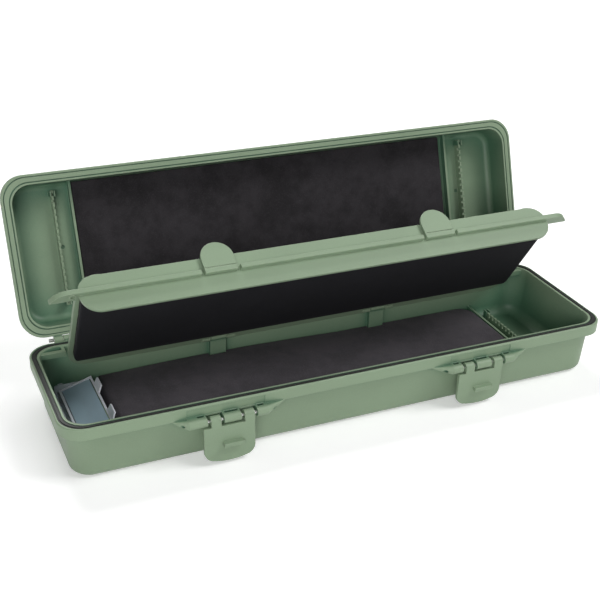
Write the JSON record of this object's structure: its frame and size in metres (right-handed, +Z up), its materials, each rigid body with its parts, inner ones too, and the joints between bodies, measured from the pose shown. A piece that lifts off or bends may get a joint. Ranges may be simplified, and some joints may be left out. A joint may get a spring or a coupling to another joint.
{
  "type": "fishing tackle rig box",
  "caption": "Long flat green tackle box for finished fishing rigs, with a lift-up lid, a foam-faced inner leaf, foam beds, end pockets and swing-up front catches.",
  "frame": {"origin": "middle of the flange outline at the underside of the base, on the surface it stands on", "axes": "+X along the length, +Y from the catches to the lid hinge, +Z up"},
  "size_m": [0.36, 0.1663, 0.133],
  "materials": {
    "green_plastic": "satin",
    "foam": "matte",
    "seal": "matte",
    "steel": "satin",
    "clear_plastic": "frosted clear"
  },
  "bodies": {
    "base": {"base_tub": "green_plastic", "base_seal": "seal", "base_foam": "foam", "base_comb": "green_plastic", "latch_pins": "steel", "lid_hinge_pins": "steel", "leaf_hinge_pins": "steel", "insert_tray": "clear_plastic"},
    "lid": {"lid_shell": "green_plastic", "lid_foam": "foam", "lid_comb_left": "green_plastic", "lid_comb_right": "green_plastic"},
    "leaf": {"leaf_frame": "green_plastic", "leaf_foam_lower": "foam", "leaf_foam_upper": "foam"},
    "tab_left": {"leaf_tab_left": "green_plastic"},
    "tab_right": {"leaf_tab_right": "green_plastic"},
    "catch_left": {"latch_left": "green_plastic"},
    "catch_right": {"latch_right": "green_plastic"},
    "cover": {"insert_cover": "clear_plastic"}
  },
  "joints": [
    {"name": "lid_hinge", "type": "hinge", "parent": "base", "child": "lid", "pos_m": [0, 0.0524, 0.03735], "axis": [1, 0, 0], "range_deg": [0, 110.6]},
    {"name": "leaf_hinge", "type": "hinge", "parent": "base", "child": "leaf", "pos_m": [0, 0.0408, 0.026], "axis": [1, 0, 0], "range_deg": [0, 57.9]},
    {"name": "catch_left_hinge", "type": "hinge", "parent": "base", "child": "catch_left", "pos_m": [-0.0836, -0.0532, 0.028], "axis": [-1, 0, 0], "range_deg": [-22, 176]},
    {"name": "catch_right_hinge", "type": "hinge", "parent": "base", "child": "catch_right", "pos_m": [0.0836, -0.0532, 0.028], "axis": [-1, 0, 0], "range_deg": [-18, 180]},
    {"name": "cover_hinge", "type": "hinge", "parent": "base", "child": "cover", "pos_m": [-0.1635, 0, 0.0086], "axis": [0, 1, 0], "range_deg": [-72.2, 17.8]},
    {"name": "tab_left_flex", "type": "hinge", "parent": "leaf", "child": "tab_left", "pos_m": [-0.0714, -0.00235, 0.09479], "axis": [-1, 0, 0], "range_deg": [0, 4], "stiffness_Nm_per_rad": 0.3},
    {"name": "tab_right_flex", "type": "hinge", "parent": "leaf", "child": "tab_right", "pos_m": [0.0746, -0.00235, 0.09479], "axis": [-1, 0, 0], "range_deg": [0, 4], "stiffness_Nm_per_rad": 0.3}
  ],
  "couplings": [
    {"joint": "leaf_hinge", "follows": "lid_hinge", "ratio": 0.52351}
  ]
}
